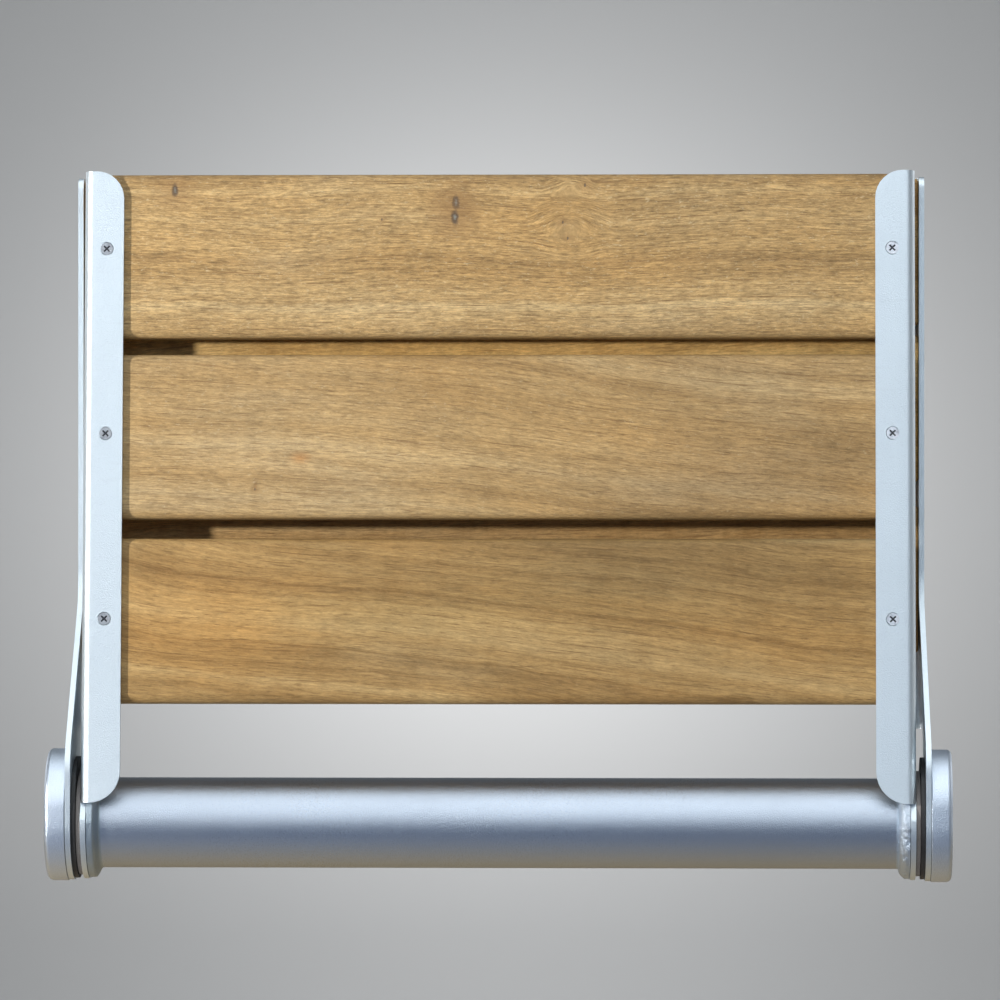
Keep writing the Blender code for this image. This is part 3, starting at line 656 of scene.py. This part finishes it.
for count, name in enumerate(both("spacer_ring")):
    refined(name, BODY_OF[name],
            nylon("nylon_" + name, 9.0 + count, (0.20, 0.18, 0.17), (0.30, 0.27, 0.26)),
            "grey_nylon")

SEAT_WOOD = {
    "top": dict(seed=3.1, slope=-0.5, pith=(0.16, -0.26), tilt=0.4, bands=0.55, speckle=1.25,
                curl=0.12, crisp=1.0, tone=(0.96, 0.97, 0.97),
                eyes=((0.0400, 0.3553, 0.0058), (0.0395, 0.3341, 0.0090)),
                knots=((0.0484, 0.3592, 0.0011), (0.0360, 0.3382, 0.0009),
                       (0.0388, 0.3292, 0.0008), (-0.183, 0.3568, 0.0036),
                       (-0.0242, 0.3495, 0.0040), (-0.0248, 0.3411, 0.0041),
                       (-0.066, 0.340, 0.0008))),
    "middle": dict(seed=8.6, slope=-6.0, pith=(0.20, -0.20), tilt=0.5, bands=0.5,
                   speckle=0.8, curl=0.15, crisp=0.7, tone=(0.91, 0.92, 0.93),
                   patches=((-0.13, 0.205, 0.045, 0.5, 0.8, (1.06, 1.10, 1.20)),
                            (0.15, 0.195, 0.030, 0.3, 0.8, (0.84, 0.82, 0.82)),
                            (-0.1112, 0.2057, 0.0034, 0.6, 0.8, (0.98, 0.72, 0.52)),
                            (-0.1365, 0.1905, 0.0028, 3.0, 0.7, (0.74, 0.64, 0.55))),
                   knots=((-0.1368, 0.1880, 0.0007),)),
    "bottom": dict(seed=12.2, slope=-7.0, pith=(0.10, 0.10), tilt=0.9, bands=0.95,
                   speckle=0.35, curl=0.22, crisp=0.6, tone=(0.80, 0.77, 0.68),
                   patches=((0.12, 0.150, 0.050, 0.28, 0.9, (0.80, 0.82, 0.84)),
                            (-0.02, 0.118, 0.014, 0.12, 0.7, (1.12, 1.15, 1.15)),
                            (-0.17, 0.120, 0.030, 0.4, 0.6, (1.12, 1.05, 0.95)))),
}
# The back boards' tones are partly the wood's own colour and partly painted light: set row by row,
# mostly brighter, so the boards seen in the seat's gaps look more lit than the lamps make them.
BACK_TONE_AND_GAP_LIGHT = {"top": (1.14, 1.07, 0.96), "middle": (1.34, 1.30, 1.05),
             "bottom": (0.95, 0.89, 0.80)}
SEAT_ARRIS, BACK_ARRIS = 5.2 * MM, 3.0 * MM
for row in ROWS:
    low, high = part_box("seat_slat_" + row)
    finish = teak("teak_seat_" + row, centre=(low + high) / 2, **SEAT_WOOD[row])
    board("seat_slat_" + row, SEAT, "seat", SEAT_ARRIS, SEAT_WOOD[row]["seed"], finish)
    low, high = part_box("back_slat_" + row)
    seed = SEAT_WOOD[row]["seed"] + 20.0
    finish = teak("teak_back_" + row, centre=(low + high) / 2, seed=seed, slope=1.5,
                  pith=(0.12, 0.2), tilt=-0.7, bands=0.6, speckle=0.5, curl=0.4,
                  tone=BACK_TONE_AND_GAP_LIGHT[row])
    board("back_slat_" + row, WALL, "wall_frame", BACK_ARRIS, seed, finish)


# ------------------------------------------------------------------ studio

FLOOR_Z = -0.80
WALL_FOOT, WALL_BEND, WALL_TOP = 5.15, 0.35, 1.3     # the round wall's foot, its curve and its top
WALL_RADIUS = WALL_FOOT + WALL_BEND
CARD_RADIUS = 4.9


def studio_floor():
    """A wide plain floor that curves up into a round wall far behind the camera."""
    finish = Finish("studio_paper")
    mottled = finish.noise(finish.place, 0.6, 2.0, 0.5)
    finish.set(Base_Color=finish.mix(mottled, (0.60, 0.60, 0.60), (0.62, 0.62, 0.62)),
               Roughness=finish.span(mottled, 0.3, 0.7, 0.86, 0.92))
    finish.shader.inputs["Specular IOR Level"].default_value = 0.1
    profile = [(1.5, FLOOR_Z), (WALL_FOOT, FLOOR_Z)]
    for step in range(1, 13):
        angle = math.pi / 2 * step / 12
        profile.append((WALL_FOOT + WALL_BEND * math.sin(angle),
                        FLOOR_Z + WALL_BEND * (1 - math.cos(angle))))
    profile.append((WALL_RADIUS, WALL_TOP))
    steps = 96
    work = bmesh.new()
    centre = work.verts.new((0, 0, FLOOR_Z))
    rows = []
    for radius, height in profile:
        rows.append([work.verts.new((radius * math.cos(2 * math.pi * step / steps),
                                     radius * math.sin(2 * math.pi * step / steps), height))
                     for step in range(steps)])
    for step in range(steps):
        nxt = (step + 1) % steps
        work.faces.new((centre, rows[0][step], rows[0][nxt]))
        for first, second in zip(rows, rows[1:]):
            work.faces.new((first[step], second[step], second[nxt], first[nxt]))
    mesh = bpy.data.meshes.new("studio_floor")
    work.to_mesh(mesh)
    work.free()
    mesh.materials.append(finish.material)
    mesh.shade_smooth()
    floor = bpy.data.objects.new("studio_floor", mesh)
    bpy.context.scene.collection.objects.link(floor)
    floor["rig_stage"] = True


def dark_card():
    """A dark card on the floor that only reflections see, so the tube's underside reads."""
    finish = Finish("dark_card_paper")
    _, depth, _ = finish.parts(finish.place)
    mottled = finish.noise(finish.place, 1.1, 2.0, 0.5)
    colour = finish.ramp(finish.span(depth, -1.5, 0.5), [(0.10, (0.150, 0.185, 0.268)),
                                                         (0.45, (0.235, 0.245, 0.265)),
                                                         (0.75, (0.375, 0.320, 0.255)),
                                                         (0.98, (0.520, 0.400, 0.250))])
    finish.set(Base_Color=colour,
               Roughness=finish.span(mottled, 0.3, 0.7, 0.88, 0.94))
    finish.shader.inputs["Specular IOR Level"].default_value = 0.05
    work = bmesh.new()
    bmesh.ops.create_circle(work, cap_ends=True, segments=64, radius=CARD_RADIUS)
    mesh = bpy.data.meshes.new("dark_card")
    work.to_mesh(mesh)
    work.free()
    mesh.materials.append(finish.material)
    card = bpy.data.objects.new("dark_card", mesh)
    bpy.context.scene.collection.objects.link(card)
    card.location.z = FLOOR_Z + 0.01
    card.visible_camera = card.visible_diffuse = card.visible_shadow = False
    card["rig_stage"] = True


def lamp(name, where, towards, size, watts, colour=(1, 1, 1), tall=None):
    """A soft lamp that the camera can't see: a disc, or a rectangle where tall is given."""
    light = bpy.data.lights.new(name, "AREA")
    light.shape = "RECTANGLE" if tall else "DISK"
    light.size = size
    if tall:
        light.size_y = tall
    light.energy = watts
    light.color = colour
    obj = bpy.data.objects.new(name, light)
    bpy.context.scene.collection.objects.link(obj)
    obj.location = where
    obj.rotation_euler = (Vector(towards) - Vector(where)).to_track_quat("-Z", "Y").to_euler()
    obj.visible_camera = False
    return obj


def around(turn, lift, distance, aim):
    """A point at a bearing and height about aim; 0 is in front, negative to the left."""
    turn, lift = math.radians(turn), math.radians(lift)
    return Vector(aim) + distance * Vector((math.sin(turn) * math.cos(lift),
                                            -math.cos(turn) * math.cos(lift),
                                            math.sin(lift)))


SUNNY, SKY, PALE_BLUE = (1.0, 0.985, 0.96), (0.90, 0.96, 1.0), (0.92, 0.97, 1.0)
KEY_SIZE = 0.14                      # small, for the flange's hard shadows on the boards
PANEL_WIDE, PANEL_TALL = 3.6, 3.0

aim = Vector((0.0, cad_low.y, ((cad_low + cad_high) / 2).z))
studio_floor()
dark_card()
# Half of the key light isn't seen in reflections, or the left flange would burn out.
where = around(-54.5, 6.2, 2.3, aim)
lamp("key", where, aim, KEY_SIZE, 28.5, SUNNY).visible_glossy = False
lamp("key_glint", where, aim, KEY_SIZE, 26.5, SUNNY)
lamp("front_panel", around(4, 37.0, 3.3, aim), aim, PANEL_WIDE, 43.5, SKY, PANEL_TALL)
# Two panels are seen only in reflections: they turn the metal facing them pale blue.
lamp("front_glint", around(0, 5, 4.9, aim), aim, 5.0, 7.0, (0.36, 0.62, 1.0),
     tall=1.8).visible_diffuse = False
lamp("right_glint", around(95, 8, 3.3, aim), aim, 2.4, 5.0, (0.88, 0.94, 1.0),
     tall=2.4).visible_diffuse = False
lamp("top_panel", around(-6, 82, 3.3, aim), aim, PANEL_WIDE, 44.0, SKY, PANEL_TALL)
lamp("front_fill", around(-5, 15, 4.2, aim), aim, 1.2, 3.8, PALE_BLUE)
backdrop = Vector((-0.18, WALL_RADIUS - 0.72, aim.z + 0.04))
lamp("backdrop", backdrop, backdrop + Vector((0, 1, 0)), 0.3, 6.2)
for label, side in SIDES:
    lamp("rear_" + label, around(side * 125, 15, 3.2, aim), aim, 1.5, 9.0)

world = bpy.data.worlds.new("studio_world")
bpy.context.scene.world = world
world.use_nodes = True
background = world.node_tree.nodes["Background"]
background.inputs["Color"].default_value = (0.86, 0.93, 1.0, 1.0)
background.inputs["Strength"].default_value = 0.12

EYE_X, EYE_Z, EYE_BACK = 0.13, 0.1819, 3.5      # the eye, and how far it is from the front
LOOK_X = 0.0017                                 # where its line of sight meets the front

camera = bpy.data.cameras.new("camera")
camera.sensor_width = 36.0
camera.lens = 225.9
camera.clip_end = 50.0
eye = bpy.data.objects.new("camera", camera)
bpy.context.scene.collection.objects.link(eye)
eye.location = (EYE_X, cad_low.y - EYE_BACK, EYE_Z)
eye.rotation_euler = (math.radians(90), 0, math.atan2(EYE_X - LOOK_X, EYE_BACK))
bpy.context.scene.camera = eye
bpy.context.scene.view_settings.view_transform = "Standard"

low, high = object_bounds()
